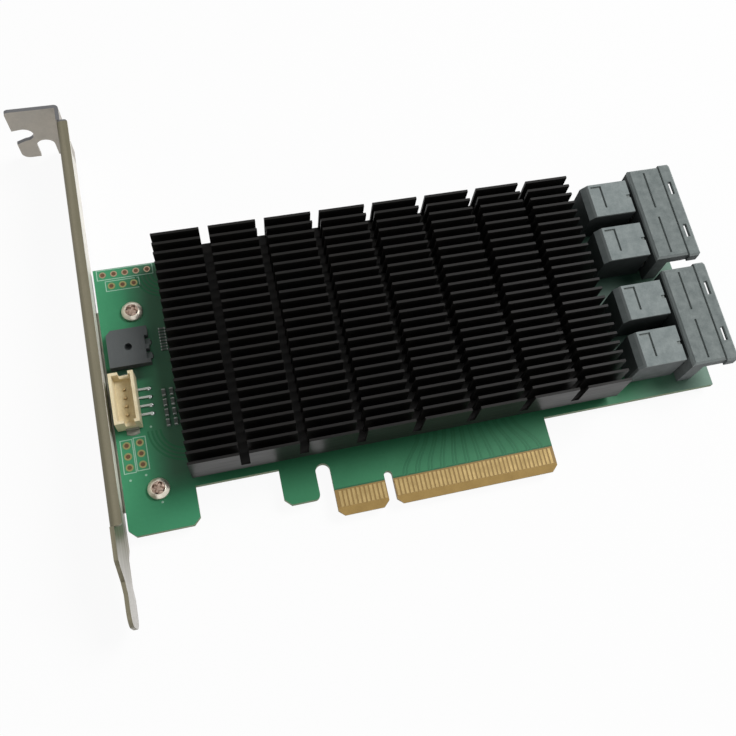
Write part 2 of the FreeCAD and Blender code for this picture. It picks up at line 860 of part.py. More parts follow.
def make_shroud(name, y):
    """Connector front: nose with card slots, hollow hood over each port with grooves and latch windows."""
    body = new_body("port_shroud_" + name, size("board_right"), y)
    back = -size("shroud_back")
    nose = -size("shroud_front")
    front = size("hood_reach")
    top = size("shroud_top")
    under = top - size("hood_thick")
    cut = size("hood_chamfer")
    long = size("shroud_length")
    half_groove = size("groove_width") / 2
    section = new_sketch(body, "XZ_Plane")
    outline(section, [
        (back, 0),
        (nose, 0),
        (nose, under),
        (front - cut, under),
        (front, under + cut),
        (front, top - cut),
        (front - cut, top),
        (back + cut, top),
        (back, top - cut),
    ])
    pad(body, section, long, both=True)
    cheeks = new_sketch(body, "XY_Plane", under)
    for side in (-1, 1):
        outer = (long / 2 - size("cheek_inset")) * side
        inner = (long / 2 - size("cheek_inset") - size("cheek_width")) * side
        rectangle(cheeks, nose, outer, front - size("cheek_setback"), inner)
    pad(body, cheeks, size("cheek_drop"), back=True)
    hollows = new_sketch(body, "XY_Plane", under)
    half_hollow = size("hood_hollow") / 2
    for side in (-1, 1):
        middle = size("port_pitch") / 2 * side
        rectangle(hollows, nose, middle - half_hollow, front, middle + half_hollow)
    pocket(body, hollows, size("hood_thick") - size("hood_wall"), back=True)
    slots = new_sketch(body, "YZ_Plane", back)
    half = size("port_slot_width") / 2
    for side in (-1, 1):
        middle = size("port_pitch") / 2 * side
        for level in port_slot_levels():
            rectangle(slots, middle - half, level, middle + half, level + size("port_slot_height"))
    pocket(body, slots, size("shroud_back") - size("shroud_front"), back=True)
    grooves = new_sketch(body, "XY_Plane", top)
    reach = long / 2 - size("groove_end")
    rear = -size("rear_groove_back")
    for side in (-1, 1):
        rectangle(grooves, rear - half_groove, size("groove_split") / 2 * side,
                  rear + half_groove, reach * side)
    ahead = -size("front_groove_back")
    rectangle(grooves, ahead - half_groove, -long, ahead + half_groove, long)
    pocket(body, grooves, size("groove_depth"))
    windows = new_sketch(body, "XY_Plane", top)
    for side in (-1, 1):
        middle = size("port_pitch") / 2 * side
        rectangle(windows, size("window_back") - size("window_width") / 2,
                  middle - size("window_length") / 2,
                  size("window_back") + size("window_width") / 2,
                  middle + size("window_length") / 2)
    pocket(body, windows, size("hood_wall"))
    ends = new_sketch(body, "YZ_Plane")
    for side in (-1, 1):
        edge = long / 2 * side
        outline(ends, [(edge, top - cut), (edge, top), (edge - cut * side, top)])
    pocket(body, ends)
    behind = half_groove - size("front_groove_back")
    collar = new_sketch(body, "YZ_Plane", behind)
    for side in (-1, 1):
        inner = (long / 2 - cut) * side
        outer = (long / 2 + size("hood_collar")) * side
        outline(collar, [
            (inner, under),
            (outer, under),
            (outer, top - cut),
            (outer - cut * side, top),
            (inner, top),
        ])
    pad(body, collar, front - cut - behind)


def make_rear_block(name, port, y):
    """Moulded block behind one port, with an angled groove and a notch in its top."""
    deep = size("block_depth")
    half = size("block_length") / 2
    high = size("block_height")
    body = new_body("port_block_%s_%s" % (name, port), block_right - deep, y)
    section = new_sketch(body, "YZ_Plane")
    rectangle(section, -half, 0, half, high)
    pad(body, section, deep)
    marks = new_sketch(body, "XY_Plane", high)
    groove = size("block_groove_left")
    wide = size("groove_width")
    rim = half - size("block_rim")
    start = size("block_chamfer") + wide
    outline(marks, [
        (start, rim),
        (start, rim - wide),
        (groove - wide, rim - wide),
        (groove - wide, rim - size("block_groove_length")),
        (groove, rim - size("block_groove_length")),
        (groove, rim),
    ])
    half_notch = size("block_notch_width") / 2
    rectangle(marks, deep - size("block_notch"), -half_notch, deep, half_notch)
    pocket(body, marks, size("groove_depth"))
    slope = new_sketch(body, "XZ_Plane")
    outline(slope, [(0, high - size("block_chamfer")), (size("block_chamfer"), high), (0, high)])
    pocket(body, slope)


def make_port_connectors():
    """Two like dual-port connectors, one above the other along the board's end."""
    for name, y in connector_places.items():
        make_shroud(name, y)
        for port, side in (("a", 1), ("b", -1)):
            make_rear_block(name, port, y + size("port_pitch") / 2 * side)


def make_small_parts():
    """Two columns of capacitors and one of resistors beside the heat sink."""
    x = sink_left - size("small_part_gap")
    capacitors = []
    resistors = []
    for index in range(SMALL_PARTS):
        row, column = divmod(index, 2)
        capacitors.append(block(
            "capacitor_%d" % index, x - size("capacitor_step") * column,
            size("capacitor_low") + size("capacitor_pitch") * row, ZERO,
            size("capacitor_width"), size("capacitor_length"), size("capacitor_height"), keep=False))
        resistors.append(block(
            "resistor_%d" % index, x, size("resistor_low") + size("resistor_pitch") * index, ZERO,
            size("resistor_length"), size("resistor_width"), size("resistor_height"), keep=False))
    group("chip_capacitors", capacitors)
    group("chip_resistors", resistors)


def make_power_parts():
    """Step-down stages between the bracket end and the controller, under the heat sink."""
    inductors = []
    regulators = []
    x, middle = sink_left + size("power_inset"), sink_middle[1]
    for index in range(POWER_STAGES):
        y = middle + size("power_pitch") * (index - (POWER_STAGES - 1) / 2)
        inductors.append(block(
            "inductor_%d" % index, x, y, ZERO, size("inductor_side"), size("inductor_side"),
            size("inductor_height"), keep=False))
        regulators.append(block(
            "regulator_%d" % index, x + size("power_pitch"), y, ZERO, size("regulator_side"),
            size("regulator_side"), size("regulator_height"), keep=False))
    group("power_inductors", inductors)
    group("regulator_chips", regulators)


def make_support_parts():
    """Boot memory and clock oscillator on the far side of the controller."""
    x = sink_middle[0] + size("package_side") / 2 + size("support_gap") + size("memory_width") / 2
    y = sink_middle[1]
    block("boot_memory", x, y + size("memory_length") / 2 + size("support_gap"), ZERO,
          size("memory_width"), size("memory_length"), size("memory_height"))
    block("oscillator", x, y - size("oscillator_length") / 2 - size("support_gap"), ZERO,
          size("oscillator_width"), size("oscillator_length"), size("oscillator_height"))


def check_and_write():
    """Refuse a failed feature or an empty shape, then write one file for each node."""
    doc.recompute()
    for item in doc.Objects:
        if "Invalid" in item.State or "Error" in item.State:
            raise RuntimeError("%s failed: %s" % (item.Name, item.State))
    for item in sub_parts:
        if item.Shape.isNull() or not item.Shape.isValid() or not item.Shape.Solids:
            raise RuntimeError("%s has no valid solid" % item.Label)
    os.makedirs("parts", exist_ok=True)
    for item in sub_parts:
        item.Shape.exportStep("parts/%s.step" % item.Label)
        print(item.Label, len(item.Shape.Solids), round(item.Shape.Volume, 3))


make_board()
make_edge_contacts("edge_contacts_front", ZERO)
make_edge_contacts("edge_contacts_back", solder_face - size("contact_thick"))
make_bracket()
make_bracket_screws()
make_heat_sink()
make_heat_sink_screws()
make_controller()
make_buzzer()
make_fan_header()
make_port_connectors()
make_small_parts()
make_power_parts()
make_support_parts()
check_and_write()
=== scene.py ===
import json

import bmesh
import bpy
import numpy as np
from mathutils import Matrix, Vector

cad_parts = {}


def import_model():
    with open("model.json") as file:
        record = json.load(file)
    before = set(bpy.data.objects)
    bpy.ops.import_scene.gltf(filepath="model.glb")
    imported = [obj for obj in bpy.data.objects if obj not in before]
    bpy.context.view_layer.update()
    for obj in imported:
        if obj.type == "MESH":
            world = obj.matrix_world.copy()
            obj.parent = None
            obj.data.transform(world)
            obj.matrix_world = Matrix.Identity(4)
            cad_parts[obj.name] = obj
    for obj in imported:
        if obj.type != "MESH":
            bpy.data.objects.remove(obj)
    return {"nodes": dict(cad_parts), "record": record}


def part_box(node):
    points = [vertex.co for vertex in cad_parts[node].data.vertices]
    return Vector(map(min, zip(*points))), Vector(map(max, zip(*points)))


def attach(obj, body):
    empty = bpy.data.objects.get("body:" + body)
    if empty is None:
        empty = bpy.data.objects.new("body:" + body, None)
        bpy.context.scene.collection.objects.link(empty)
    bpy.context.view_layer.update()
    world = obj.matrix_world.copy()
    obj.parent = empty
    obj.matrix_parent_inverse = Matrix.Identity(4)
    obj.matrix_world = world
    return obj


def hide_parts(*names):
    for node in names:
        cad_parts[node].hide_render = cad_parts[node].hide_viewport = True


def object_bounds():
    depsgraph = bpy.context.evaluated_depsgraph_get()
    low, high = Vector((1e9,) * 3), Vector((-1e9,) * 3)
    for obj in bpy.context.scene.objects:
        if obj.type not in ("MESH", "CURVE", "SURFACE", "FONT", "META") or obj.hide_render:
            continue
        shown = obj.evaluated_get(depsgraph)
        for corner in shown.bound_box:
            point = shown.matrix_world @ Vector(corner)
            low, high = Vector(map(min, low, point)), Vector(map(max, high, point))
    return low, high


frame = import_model()
cad_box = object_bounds()
nodes = frame["nodes"]
MM = 0.001

# Sizes of the solids that the dressing follows, in millimetres
BOARD_TOP = 0.0
BOARD_UNDER = -1.57
TONGUE_LEFT = -12.6
TONGUE_RIGHT = 39.6
MASK_EDGE = 5.95
BEVEL_EDGE = 1.85
SHROUD_BACK = 75.4
SHROUD_TOP = 11.5
BLOCK_TOP = 10.5
LAST_BLOCK = 18.4
GROOVE_DEPTH = 0.45
SINK_FRONT = 14.4
TAB_FOLD = 100.0


def box_mm(node):
    """Low and high corners of a node's box in millimetres."""
    return [np.array(corner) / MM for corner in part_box(node)]


# Surfaces

def quads(rows, columns, close_rows=False, close_columns=False):
    """Faces of a grid: cell (i, j) joins points (i, j), (i+1, j), (i+1, j+1) and (i, j+1)."""
    i, j = np.meshgrid(
        np.arange(rows if close_rows else rows - 1),
        np.arange(columns if close_columns else columns - 1), indexing="ij")
    below, right = (i + 1) % rows, (j + 1) % columns
    corners = [i * columns + j, below * columns + j, below * columns + right, i * columns + right]
    return np.stack(corners, -1).reshape(-1, 4)


def turned(profile, x, y, segments=32):
    """Surface of revolution: point (r, h) of the profile at angle a is (x + r cos a, y + r sin a, h)."""
    r, h = np.asarray(profile, float).T
    a = np.linspace(0, 2 * np.pi, segments, endpoint=False)
    points = np.stack([
        x + r[:, None] * np.cos(a), y + r[:, None] * np.sin(a), h[:, None] + 0 * a], -1)
    return points.reshape(-1, 3), quads(len(r), segments, close_columns=True)


def washer(x, y, inner, outer, rise, bevel=0.0, level=BOARD_TOP, up=1, segments=32):
    """Low ring, or a dot where inner is nought: a turned trapezium that rises from a level up or down."""
    profile = [(inner, 0.0), (inner, rise), (outer - bevel, rise), (outer, 0.0), (inner, 0.0)]
    return turned([(r, level + up * h) for r, h in profile], x, y, segments)


def ribbon(path, width, rise, level, closed=False):
    """Low bar carried along a flat path: at each point its section is a trapezium set square to the path."""
    path = np.asarray(path, float)
    if closed:
        ahead, behind = np.roll(path, -1, 0) - path, path - np.roll(path, 1, 0)
        ahead /= np.linalg.norm(ahead, axis=1, keepdims=True)
        behind /= np.linalg.norm(behind, axis=1, keepdims=True)
        along = ahead + behind
    else:
        along = np.gradient(path, axis=0)
    along /= np.linalg.norm(along, axis=1, keepdims=True)
    side = np.stack([-along[:, 1], along[:, 0]], -1)
    if closed:
        side /= np.abs((side * np.stack([-ahead[:, 1], ahead[:, 0]], -1)).sum(1, keepdims=True))
    across = np.array([0.5, 0.42, -0.42, -0.5]) * width
    heights = np.array([0, 1, 1, 0]) * rise + level
    flat = path[:, None, :] + side[:, None, :] * across[None, :, None]
    lift = np.broadcast_to(heights[None, :, None], (*flat.shape[:2], 1))
    points = np.concatenate([flat, lift], -1).reshape(-1, 3)
    faces = quads(len(path), 4, close_rows=closed, close_columns=True)
    if not closed:
        last = 4 * (len(path) - 1)
        faces = np.concatenate([faces, [[3, 2, 1, 0], [last, last + 1, last + 2, last + 3]]])
    return points, faces


def bars(low, high):
    """Upright boxes: corner (i, j, k) of each box takes its low or high value on each axis."""
    pick = np.array([[0, 0, 0], [1, 0, 0], [1, 1, 0], [0, 1, 0], [0, 0, 1], [1, 0, 1], [1, 1, 1], [0, 1, 1]])
    points = np.where(pick[None] == 1, high[:, None], low[:, None]).reshape(-1, 3)
    sides = np.array([[3, 2, 1, 0], [4, 5, 6, 7], [0, 1, 5, 4], [1, 2, 6, 5], [2, 3, 7, 6], [3, 0, 4, 7]])
    starts = np.arange(len(low)) * len(pick)
    return points, (sides[None] + starts[:, None, None]).reshape(-1, 4)


def pillow(centre, half, square=1.0, rows=13, columns=24):
    """Superellipsoid: cosines and sines of latitude and longitude raised to a power, so square=0 is a box."""
    v = np.linspace(-np.pi / 2, np.pi / 2, rows)[:, None]
    u = np.linspace(-np.pi, np.pi, columns, endpoint=False)[None, :]

    def bent(wave):
        return np.sign(wave) * np.abs(wave) ** square

    unit = np.stack([
        bent(np.cos(v)) * bent(np.cos(u)), bent(np.cos(v)) * bent(np.sin(u)), bent(np.sin(v)) + 0 * u], -1)
    points = np.asarray(centre) + unit * np.asarray(half)
    return points.reshape(-1, 3), quads(rows, columns, close_columns=True)


# Screws: dish and cross as shares of the head's radius and rise, the cross's turn in radians, the thread's
# pitch and the point's length in millimetres, the thread's depth and the point's width as shares of the shank
SCREW_TURNS = np.linspace(0, 2 * np.pi, 64, endpoint=False)
DISH = 0.62
DISH_FLOOR = 0.6
THREAD_PITCH = 0.5
THREAD_DEPTH = 0.14
POINT_LENGTH = 0.5
POINT_SHARE = 0.55
ARM_ANGLE = 0.5
ARM_HALF = 0.19
ARM_SLOPE = 0.07
ARM_REACH = 0.6
REACH_SLOPE = 0.08
ARM_SINK = 0.3
PLUG_SINK = 0.05


def rings(x, y, seat, up, r, h):
    """Rings about an upright axis: radius r and height h are arrays over ring and turn, so a point is
    (x + r cos a, y + r sin a, seat + up h)."""
    points = np.stack([x + r * np.cos(SCREW_TURNS), y + r * np.sin(SCREW_TURNS), seat + up * h], -1)
    return points.reshape(-1, 3), quads(len(r), len(SCREW_TURNS), close_columns=True)


def screw_surface(x, y, seat, up, head, rise, rim, shank, length):
    """Screw as rings of radius r and height h from crown to point: a round dish in the crown, a shoulder that
    falls as the cube of r, and a shank that swells and thins with height less turn."""
    flat = 0 * SCREW_TURNS
    shoulder = np.linspace(DISH, 1, 14)
    crown_r = np.concatenate([[0, DISH], shoulder]) * head
    crown_h = np.concatenate([[rise * DISH_FLOOR, rise * DISH_FLOOR], rise - (rise - rim) * shoulder ** 3])
    run = np.linspace(0, -length, 40)
    thread = np.abs(((run[:, None] / THREAD_PITCH - SCREW_TURNS / (2 * np.pi)) % 1) - 0.5) * 2
    taper = np.clip((run + length) / POINT_LENGTH, POINT_SHARE, 1)[:, None]
    side_r = shank * taper * (1 - THREAD_DEPTH + THREAD_DEPTH * thread)
    r = np.concatenate([crown_r[:, None] + flat, [flat + head, flat + shank], side_r, [flat]])
    h = np.concatenate([crown_h[:, None] + flat, [flat, flat], run[:, None] + flat, [flat - length]])
    return rings(x, y, seat, up, r, h)


def recess_surface(x, y, seat, up, head, rise, rim):
    """Plug in a screw's dish: rings of radius r whose top follows the shoulder's curve, with two crossed arms
    sunk by a product of ramps in the distances along and across each arm."""
    r = (np.linspace(0, 1, 20) * DISH)[:, None] + 0 * SCREW_TURNS
    east, north = np.abs(r * np.cos(SCREW_TURNS + ARM_ANGLE)), np.abs(r * np.sin(SCREW_TURNS + ARM_ANGLE))
    arm, reach = np.minimum(east, north), np.maximum(east, north)
    inside = np.clip((ARM_HALF - arm) / ARM_SLOPE, 0, 1) * np.clip((ARM_REACH - reach) / REACH_SLOPE, 0, 1)
    h = rise - (rise - rim) * r ** 3 - PLUG_SINK * rise - ARM_SINK * rise * inside
    shell_r = np.concatenate([r, r[-1:], 0 * r[:1]]) * head
    shell_h = np.concatenate([h, 0 * h[:2] + rise * DISH_FLOOR])
    return rings(x, y, seat, up, shell_r, shell_h)


def piece(name, parts, finish, smooth=False):
    """One mesh from several (points in mm, faces) surfaces, its doubles merged and its faces turned out."""
    starts = np.cumsum([0] + [len(points) for points, faces in parts[:-1]])
    points = np.concatenate([points for points, faces in parts]) * MM
    faces = np.concatenate([faces + start for (_, faces), start in zip(parts, starts)])
    mesh = bpy.data.meshes.new(name)
    mesh.from_pydata(points.tolist(), [], faces.tolist())
    shell = bmesh.new()
    shell.from_mesh(mesh)
    bmesh.ops.remove_doubles(shell, verts=shell.verts, dist=1e-7)
    bmesh.ops.dissolve_degenerate(shell, edges=shell.edges, dist=1e-8)
    bmesh.ops.recalc_face_normals(shell, faces=shell.faces)
    shell.to_mesh(mesh)
    shell.free()
    mesh.polygons.foreach_set("use_smooth", np.full(len(mesh.polygons), smooth))
    mesh.materials.append(finishes[finish])
    obj = bpy.data.objects.new(name, mesh)
    bpy.context.scene.collection.objects.link(obj)
    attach(obj, "root")
    return obj


# Shader nodes

# A face counts as turned along an axis when its normal's share of that axis is past this
FACING = 0.5


def feed(tree, socket, value):
    """Give a socket its value: a link from another socket, a colour without its alpha, or a plain value."""
    if isinstance(value, bpy.types.NodeSocket):
        tree.links.new(value, socket)
    elif socket.type == "RGBA":
        socket.default_value = (*value, 1.0)
    else:
        socket.default_value = value


def math_node(tree, operation, *values):
    """Math node whose inputs are sockets or plain numbers; returns its output."""
    node = tree.nodes.new("ShaderNodeMath")
    node.operation = operation
    for socket, value in zip(node.inputs, values):
        feed(tree, socket, value)
    return node.outputs[0]


def mix_colour(tree, amount, first, second):
    """Colour mix of two colours or sockets by an amount; returns its output."""
    node = tree.nodes.new("ShaderNodeMix")
    node.data_type = "RGBA"
    for index, value in ((0, amount), (6, first), (7, second)):
        feed(tree, node.inputs[index], value)
    return node.outputs[2]


def layered(tree, colour, *layers):
    """Colour with other colours laid over it in turn, each as far as its share says."""
    for share, cover in layers:
        colour = mix_colour(tree, share, colour, cover)
    return colour


def together(tree, share, *others):
    """Product of several shares, so all of them have to hold."""
    for other in others:
        share = math_node(tree, "MULTIPLY", share, other)
    return share


def spread(tree, value, low, high, first=0.3, last=0.7):
    """Spread a value that runs from first to last over a new range, held at its ends."""
    node = tree.nodes.new("ShaderNodeMapRange")
    node.inputs["From Min"].default_value = first
    node.inputs["From Max"].default_value = last
    node.inputs["To Min"].default_value = low
    node.inputs["To Max"].default_value = high
    tree.links.new(value, node.inputs["Value"])
    return node.outputs[0]


def ramp(tree, place, begin, end, low=0.0, high=1.0):
    """Ramp from low to high between two places on an axis, in millimetres."""
    return spread(tree, place, low, high, begin * MM, end * MM)


def past(tree, place, edge):
    """One beyond an edge on an axis, in millimetres, and nought before it."""
    return math_node(tree, "GREATER_THAN", place, edge * MM)


def before(tree, place, edge):
    """One before an edge on an axis, in millimetres, and nought beyond it."""
    return math_node(tree, "LESS_THAN", place, edge * MM)


def place_and_facing(tree):
    """Object coordinates and surface normal, each split into its axes."""
    source = tree.nodes.new("ShaderNodeTexCoord")
    splits = []
    for label in ("Object", "Normal"):
        split = tree.nodes.new("ShaderNodeSeparateXYZ")
        tree.links.new(source.outputs[label], split.inputs[0])
        splits.append(split.outputs)
    return splits


# Shader groups

# Weights of the two noises in a mottle, and the level and gain that stretch their sum
CLOUD_SHARE = 0.65
GRAIN_SHARE = 0.35
MOTTLE_START = 0.35
MOTTLE_GAIN = 3.0


def new_group(name, inputs, outputs):
    """Empty shader group with named sockets; returns the tree and its two end nodes."""
    tree = bpy.data.node_groups.new(name, "ShaderNodeTree")
    for label, kind, value in inputs:
        socket = tree.interface.new_socket(label, in_out="INPUT", socket_type=kind)
        socket.default_value = value
    for label, kind in outputs:
        tree.interface.new_socket(label, in_out="OUTPUT", socket_type=kind)
    return tree, tree.nodes.new("NodeGroupInput"), tree.nodes.new("NodeGroupOutput")


def make_mottle():
    """Cloudy tone and fine grain over Object coordinates, for moulded, plated and coated surfaces."""
    tree, start, end = new_group(
        "mottle",
        [("Colour", "NodeSocketColor", (0.5, 0.5, 0.5, 1)), ("Tint", "NodeSocketColor", (0.4, 0.4, 0.4, 1)),
         ("Cloud Scale", "NodeSocketFloat", 120.0), ("Grain Scale", "NodeSocketFloat", 2500.0),
         ("Amount", "NodeSocketFloat", 0.5)],
        [("Colour", "NodeSocketColor"), ("Cloud", "NodeSocketFloat"), ("Grain", "NodeSocketFloat")])
    place = tree.nodes.new("ShaderNodeTexCoord")
    waves = []
    for scale in ("Cloud Scale", "Grain Scale"):
        noise = tree.nodes.new("ShaderNodeTexNoise")
        noise.inputs["Detail"].default_value = 4.0
        tree.links.new(place.outputs["Object"], noise.inputs["Vector"])
        tree.links.new(start.outputs[scale], noise.inputs["Scale"])
        waves.append(noise.outputs["Fac"])
    cloud, grain = waves
    clouds = math_node(tree, "MULTIPLY", cloud, CLOUD_SHARE)
    grains = math_node(tree, "MULTIPLY", grain, GRAIN_SHARE)
    raised = math_node(tree, "SUBTRACT", math_node(tree, "ADD", clouds, grains), MOTTLE_START)
    stretched = math_node(tree, "MULTIPLY", raised, MOTTLE_GAIN)
    clipped = math_node(tree, "MINIMUM", math_node(tree, "MAXIMUM", stretched, 0.0), 1.0)
    amount = math_node(tree, "MULTIPLY", clipped, start.outputs["Amount"])
    colour = mix_colour(tree, amount, start.outputs["Colour"], start.outputs["Tint"])
    tree.links.new(colour, end.inputs["Colour"])
    tree.links.new(cloud, end.inputs["Cloud"])
    tree.links.new(grain, end.inputs["Grain"])
    return tree


def make_streak():
    """Long fine scratches: noise on Object coordinates squeezed on one axis, for drawn and brushed metal."""
    tree, start, end = new_group(
        "streak",
        [("Squeeze", "NodeSocketVector", (1.0, 1.0, 1.0)), ("Scale", "NodeSocketFloat", 900.0)],
        [("Streak", "NodeSocketFloat")])
    place = tree.nodes.new("ShaderNodeTexCoord")
    squeeze = tree.nodes.new("ShaderNodeMapping")
    noise = tree.nodes.new("ShaderNodeTexNoise")
    noise.inputs["Detail"].default_value = 3.0
    tree.links.new(place.outputs["Object"], squeeze.inputs["Vector"])
    tree.links.new(start.outputs["Squeeze"], squeeze.inputs["Scale"])
    tree.links.new(squeeze.outputs["Vector"], noise.inputs["Vector"])
    tree.links.new(start.outputs["Scale"], noise.inputs["Scale"])
    tree.links.new(noise.outputs["Fac"], end.inputs["Streak"])
    return tree


mottle_group = make_mottle()
streak_group = make_streak()


def add_group(tree, group, **values):
    """Place a shader group and feed its named inputs."""
    node = tree.nodes.new("ShaderNodeGroup")
    node.node_tree = group
    for label, value in values.items():
        feed(tree, node.inputs[label.replace("_", " ").title()], value)
    return node


def mottled(tree, colour, tint, cloud, grain, amount):
    """Colour, plain or from a socket, clouded with a tint; returns its output."""
    node = add_group(
        tree, mottle_group, colour=colour, tint=tint, cloud_scale=cloud, grain_scale=grain, amount=amount)
    return node.outputs["Colour"]


# Finishes

STREAK_TINT = 0.8
finishes = {}


def new_finish(name, colour, tint, rough, metal=0.0, shine=0.3, cloud=120.0, grain=2500.0, amount=0.6,
               bump=0.0, squeeze=None, streak_scale=900.0):
    """Surface with a mottled colour, a roughness that follows the clouds, and grain or streaks as bump; it is
    kept in finishes under its name."""
    material = bpy.data.materials.new(name)
    material.use_nodes = True
    tree = material.node_tree
    shader = tree.nodes["Principled BSDF"]
    shader.inputs["Metallic"].default_value = metal
    shader.inputs["Specular IOR Level"].default_value = shine
    mottle = add_group(
        tree, mottle_group, colour=colour, tint=tint, cloud_scale=cloud, grain_scale=grain, amount=amount)
    shade = mottle.outputs["Colour"]
    height = mottle.outputs["Grain"]
    patchy = mottle.outputs["Cloud"]
    if squeeze is not None:
        streak = add_group(tree, streak_group, squeeze=squeeze, scale=streak_scale)
        height = streak.outputs["Streak"]
        patchy = streak.outputs["Streak"]
        shade = mix_colour(tree, spread(tree, patchy, 0.0, STREAK_TINT), shade, tint)
    tree.links.new(shade, shader.inputs["Base Color"])
    tree.links.new(spread(tree, patchy, *rough), shader.inputs["Roughness"])
    if bump > 0:
        relief = tree.nodes.new("ShaderNodeBump")
        relief.inputs["Strength"].default_value = 1.0
        relief.inputs["Distance"].default_value = bump * MM
        tree.links.new(height, relief.inputs["Height"])
        tree.links.new(relief.outputs["Normal"], shader.inputs["Normal"])
    finishes[name] = material
    return material


def finish_parts(material):
    """A finish's node tree, its shader and the colour that feeds the shader so far."""
    tree = material.node_tree
    shader = tree.nodes["Principled BSDF"]
    return tree, shader, shader.inputs["Base Color"].links[0].from_socket


# Where the connector plastic changes, in millimetres, and between which slopes a face turns level
SHROUD_MARGIN = 0.2
RIM_DEPTH = GROOVE_DEPTH + 0.05
TOP_SKIN = 0.2
LEVEL_SLOPES = (0.32, 0.9)


def make_slate_plastic():
    """Connector plastic, its tops with spark texture painted paler than the dark sides as a painted sheen and
    paler still on the blocks; painted highlights on the top rims that paint light onto the groove walls,
    groove floors painted a little darker as painted shade, and paler sides on the shroud and on the lowest
    block, where they are painted light.
    """
    # The finish's base colour is the shroud tops' painted sheen
    material = new_finish(
        "slate_plastic", (0.220, 0.248, 0.242), (0.126, 0.148, 0.147), (0.50, 0.64), shine=0.05, cloud=520.0,
        grain=3000.0, amount=0.8, bump=0.02)
    # Painted highlight on the top rims of the sides, which also paints light onto the groove walls
    rim_grey = (0.34, 0.375, 0.37)
    # Groove floors painted a little darker than the tops as painted shade
    groove_grey = (0.20, 0.222, 0.216)
    tree, shader, shroud_sheen = finish_parts(material)
    axes, facing = place_and_facing(tree)
    # Block tops painted paler than the shroud tops
    patchy = mottled(tree, (0.270, 0.304, 0.300), (0.170, 0.200, 0.200), cloud=520.0, grain=3000.0, amount=0.8)
    dark_sides = mottled(
        tree, (0.080, 0.090, 0.090), (0.055, 0.063, 0.063), cloud=300.0, grain=3000.0, amount=0.7)
    # Paler sides on the shroud and on the lowest block; on the lowest block they are painted light
    paler_sides = mottled(tree, (0.200, 0.215, 0.215), (0.130, 0.140, 0.142), cloud=400.0, grain=3000.0, amount=0.8)
    shroud = past(tree, axes["X"], SHROUD_BACK + SHROUD_MARGIN)
    paler_share = math_node(tree, "MAXIMUM", shroud, before(tree, axes["Y"], LAST_BLOCK))
    sides = mix_colour(tree, paler_share, dark_sides, paler_sides)
    tops = mix_colour(tree, shroud, patchy, shroud_sheen)
    step = math_node(tree, "MULTIPLY", shroud, (SHROUD_TOP - BLOCK_TOP) * MM)
    height = math_node(tree, "SUBTRACT", axes["Z"], step)
    near_top = past(tree, height, BLOCK_TOP - RIM_DEPTH)
    groove = together(tree, near_top, before(tree, height, BLOCK_TOP - TOP_SKIN))
    # Faces turned up take the tops' painted sheen, paler than the sides
    level = spread(tree, facing["Z"], 0.0, 1.0, *LEVEL_SLOPES)
    upright_colour = mix_colour(tree, near_top, sides, rim_grey)
    level_colour = mix_colour(tree, groove, tops, groove_grey)
    tree.links.new(mix_colour(tree, level, upright_colour, level_colour), shader.inputs["Base Color"])


# Where the mask's colour changes, in millimetres, each pair from where a change begins to where it ends; the
# two shares say how far the painted sheen at the port end and the painted shadow beside the buzzer cover what
# is below
# Painted shade: the mask greyer and darker beside the heat sink
GREY_FROM_BRACKET = (-52.0, -46.0)
GREY_FROM_EDGE = (12.0, 17.0)
DEEP_FROM_BRACKET_END = (-42.0, -36.0)
# Painted sheen at the port end
PALE_PORT_END = (62.0, 78.0)
PALE_SHARE = 0.7
# Painted shadow among the ports
DARK_FROM_SINK = (50.0, 58.0)
DARK_TO_SHROUD = (SHROUD_BACK - 3.0, SHROUD_BACK + 1.5)
DARK_FROM_EDGE = (17.0, 23.0)
# Painted shadow on the board between the buzzer and the header
BUZZER_SHADOW_SIDE = (-50.5, -47.0)
BUZZER_SHADOW_FADE = 1.0
BUZZER_SHADOW_SHARE = 0.9
BORDER_WIDTH = 0.35
TONGUE_MARGIN = 0.1


